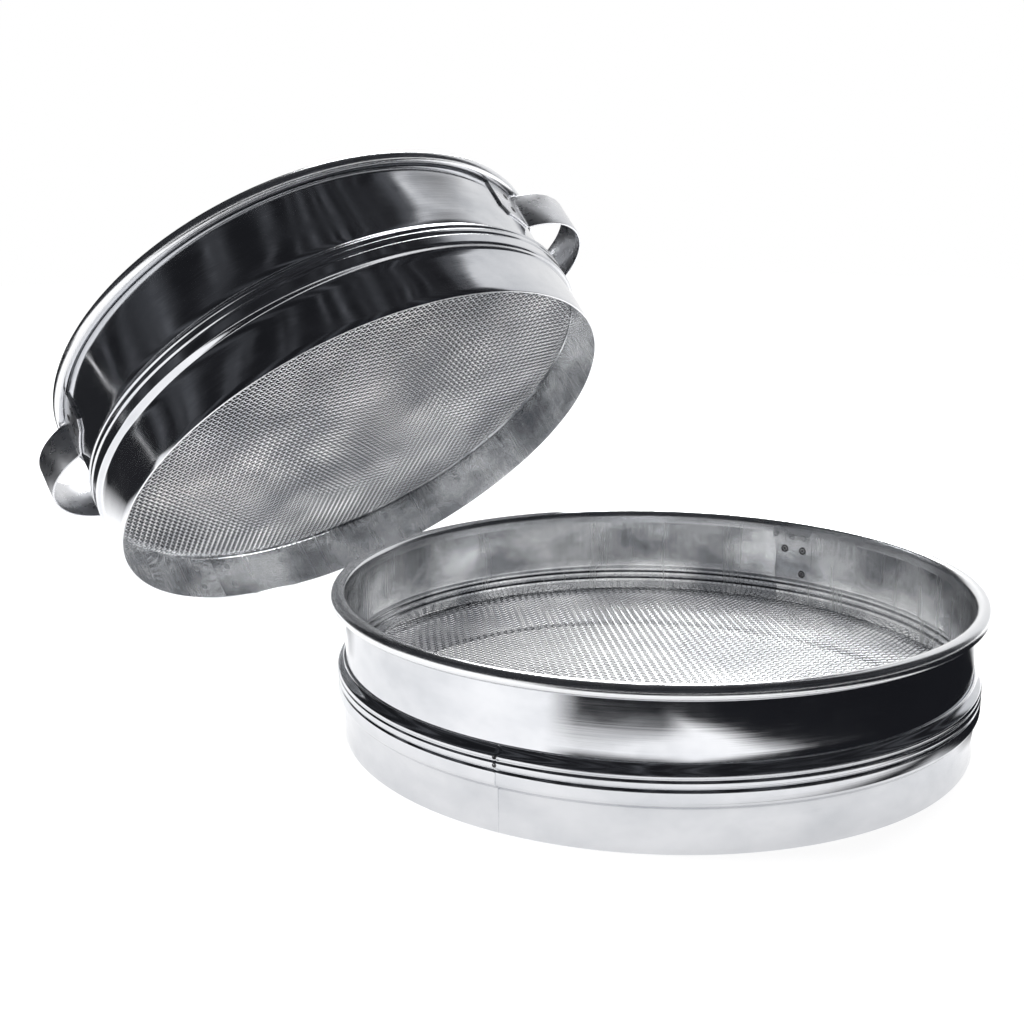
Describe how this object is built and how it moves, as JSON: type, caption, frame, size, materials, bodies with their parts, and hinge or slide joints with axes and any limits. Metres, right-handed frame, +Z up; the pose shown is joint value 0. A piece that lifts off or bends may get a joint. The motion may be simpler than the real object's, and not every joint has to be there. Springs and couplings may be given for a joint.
{
  "type": "honey strainer",
  "caption": "Double stainless-steel honey strainer: two round mesh-bottomed sieves with wired rims, one with strap handles, the lower standing and the upper tilted beside it.",
  "frame": {"origin": "centre of the lower sieve's bottom edge, on the surface that both sieves stand on", "axes": "+Z up, along the lower sieve's axis towards its rim; -X from the lower sieve to the upper one, which leans away to -X; Y across"},
  "size_m": [0.436, 0.2583, 0.2219],
  "materials": {
    "drum_sheet": "rolled stainless sheet, bright, with fine circumferential polishing lines",
    "collar_sheet": "rolled stainless sheet, bright, with fine circumferential polishing lines",
    "rim_wire": "drawn stainless wire inside the rolled rim",
    "woven_mesh": "plain-woven stainless wire cloth",
    "handle_strap": "bright stainless strap with rounded edges",
    "spot_weld": "heat-darkened ring of a spot weld"
  },
  "bodies": {
    "lower_sieve": {"lower_drum": "drum_sheet", "lower_rim_wire": "rim_wire", "lower_collar": "collar_sheet", "lower_mesh": "woven_mesh", "lower_drum_welds": "spot_weld", "lower_collar_welds": "spot_weld"},
    "upper_sieve": {"upper_drum": "drum_sheet", "upper_rim_wire": "rim_wire", "upper_collar": "collar_sheet", "upper_mesh": "woven_mesh", "upper_drum_welds": "spot_weld", "upper_collar_welds": "spot_weld", "left_handle": "handle_strap", "right_handle": "handle_strap", "left_handle_welds": "spot_weld", "right_handle_welds": "spot_weld"}
  },
  "joints": [
    {"name": "upper_lift", "type": "slide", "parent": "lower_sieve", "child": "upper_sieve", "axis": [0, 0, 1], "range_m": [0, 0.2]}
  ]
}
